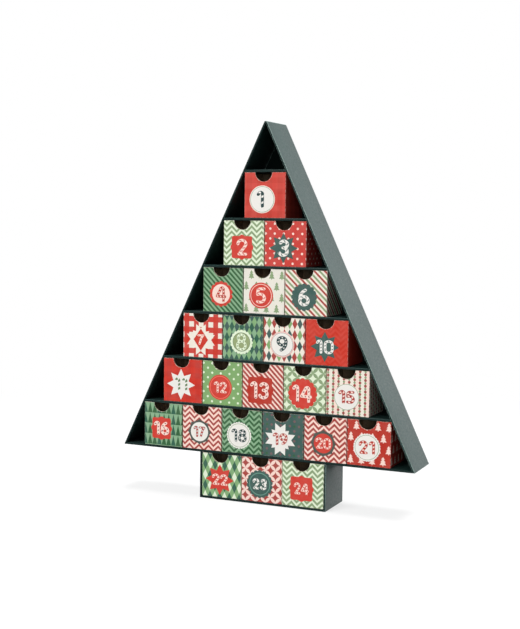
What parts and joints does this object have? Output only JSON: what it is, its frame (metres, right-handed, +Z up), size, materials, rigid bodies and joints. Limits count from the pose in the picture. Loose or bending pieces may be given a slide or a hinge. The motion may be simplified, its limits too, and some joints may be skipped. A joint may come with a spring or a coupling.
{
  "type": "advent calendar",
  "caption": "Tree-shaped advent calendar in paper-wrapped board: triangular crown on a square trunk, filled with small open drawers with finger notches that pull out to the front.",
  "frame": {"origin": "under the middle of the trunk's floor, halfway between front and rear", "axes": "+X to the right seen from the front, +Y from the front to the back, +Z up; the drawers face -Y"},
  "size_m": [0.356, 0.055, 0.4275],
  "materials": {
    "case_paper": "dark green paper wrap, satin",
    "red_print": "printed paper with a red ground, satin",
    "cream_print": "printed paper with a cream ground, satin",
    "leaf_print": "printed paper with a leaf ground, satin",
    "pine_print": "printed paper with a pine ground, satin",
    "slate_print": "printed paper with a slate ground, satin"
  },
  "bodies": {
    "case": {"left_roof_board": "case_paper", "right_roof_board": "case_paper", "crown_floor": "case_paper", "crown_back": "case_paper", "trunk_left_wall": "case_paper", "trunk_right_wall": "case_paper", "trunk_floor": "case_paper", "trunk_back": "case_paper", "shelf_1": "case_paper", "shelf_2": "case_paper", "shelf_3": "case_paper", "shelf_4": "case_paper", "shelf_5": "case_paper", "shelf_6": "case_paper"},
    "drawer_01": {"drawer_01": "red_print"},
    "drawer_02": {"drawer_02": "cream_print"},
    "drawer_03": {"drawer_03": "red_print"},
    "drawer_04": {"drawer_04": "leaf_print"},
    "drawer_05": {"drawer_05": "cream_print"},
    "drawer_06": {"drawer_06": "cream_print"},
    "drawer_07": {"drawer_07": "red_print"},
    "drawer_08": {"drawer_08": "pine_print"},
    "drawer_09": {"drawer_09": "cream_print"},
    "drawer_10": {"drawer_10": "red_print"},
    "drawer_11": {"drawer_11": "red_print"},
    "drawer_12": {"drawer_12": "leaf_print"},
    "drawer_13": {"drawer_13": "red_print"},
    "drawer_14": {"drawer_14": "cream_print"},
    "drawer_15": {"drawer_15": "cream_print"},
    "drawer_16": {"drawer_16": "leaf_print"},
    "drawer_17": {"drawer_17": "red_print"},
    "drawer_18": {"drawer_18": "pine_print"},
    "drawer_19": {"drawer_19": "slate_print"},
    "drawer_20": {"drawer_20": "red_print"},
    "drawer_21": {"drawer_21": "red_print"},
    "drawer_22": {"drawer_22": "leaf_print"},
    "drawer_23": {"drawer_23": "cream_print"},
    "drawer_24": {"drawer_24": "cream_print"}
  },
  "joints": [
    {"name": "drawer_01_slide", "type": "slide", "parent": "case", "child": "drawer_01", "axis": [0, -1, 0], "range_m": [0, 0.05]},
    {"name": "drawer_02_slide", "type": "slide", "parent": "case", "child": "drawer_02", "axis": [0, -1, 0], "range_m": [0, 0.05]},
    {"name": "drawer_03_slide", "type": "slide", "parent": "case", "child": "drawer_03", "axis": [0, -1, 0], "range_m": [0, 0.05]},
    {"name": "drawer_04_slide", "type": "slide", "parent": "case", "child": "drawer_04", "axis": [0, -1, 0], "range_m": [0, 0.05]},
    {"name": "drawer_05_slide", "type": "slide", "parent": "case", "child": "drawer_05", "axis": [0, -1, 0], "range_m": [0, 0.05]},
    {"name": "drawer_06_slide", "type": "slide", "parent": "case", "child": "drawer_06", "axis": [0, -1, 0], "range_m": [0, 0.05]},
    {"name": "drawer_07_slide", "type": "slide", "parent": "case", "child": "drawer_07", "axis": [0, -1, 0], "range_m": [0, 0.05]},
    {"name": "drawer_08_slide", "type": "slide", "parent": "case", "child": "drawer_08", "axis": [0, -1, 0], "range_m": [0, 0.05]},
    {"name": "drawer_09_slide", "type": "slide", "parent": "case", "child": "drawer_09", "axis": [0, -1, 0], "range_m": [0, 0.05]},
    {"name": "drawer_10_slide", "type": "slide", "parent": "case", "child": "drawer_10", "axis": [0, -1, 0], "range_m": [0, 0.05]},
    {"name": "drawer_11_slide", "type": "slide", "parent": "case", "child": "drawer_11", "axis": [0, -1, 0], "range_m": [0, 0.05]},
    {"name": "drawer_12_slide", "type": "slide", "parent": "case", "child": "drawer_12", "axis": [0, -1, 0], "range_m": [0, 0.05]},
    {"name": "drawer_13_slide", "type": "slide", "parent": "case", "child": "drawer_13", "axis": [0, -1, 0], "range_m": [0, 0.05]},
    {"name": "drawer_14_slide", "type": "slide", "parent": "case", "child": "drawer_14", "axis": [0, -1, 0], "range_m": [0, 0.05]},
    {"name": "drawer_15_slide", "type": "slide", "parent": "case", "child": "drawer_15", "axis": [0, -1, 0], "range_m": [0, 0.05]},
    {"name": "drawer_16_slide", "type": "slide", "parent": "case", "child": "drawer_16", "axis": [0, -1, 0], "range_m": [0, 0.05]},
    {"name": "drawer_17_slide", "type": "slide", "parent": "case", "child": "drawer_17", "axis": [0, -1, 0], "range_m": [0, 0.05]},
    {"name": "drawer_18_slide", "type": "slide", "parent": "case", "child": "drawer_18", "axis": [0, -1, 0], "range_m": [0, 0.05]},
    {"name": "drawer_19_slide", "type": "slide", "parent": "case", "child": "drawer_19", "axis": [0, -1, 0], "range_m": [0, 0.05]},
    {"name": "drawer_20_slide", "type": "slide", "parent": "case", "child": "drawer_20", "axis": [0, -1, 0], "range_m": [0, 0.05]},
    {"name": "drawer_21_slide", "type": "slide", "parent": "case", "child": "drawer_21", "axis": [0, -1, 0], "range_m": [0, 0.05]},
    {"name": "drawer_22_slide", "type": "slide", "parent": "case", "child": "drawer_22", "axis": [0, -1, 0], "range_m": [0, 0.05]},
    {"name": "drawer_23_slide", "type": "slide", "parent": "case", "child": "drawer_23", "axis": [0, -1, 0], "range_m": [0, 0.05]},
    {"name": "drawer_24_slide", "type": "slide", "parent": "case", "child": "drawer_24", "axis": [0, -1, 0], "range_m": [0, 0.05]}
  ]
}
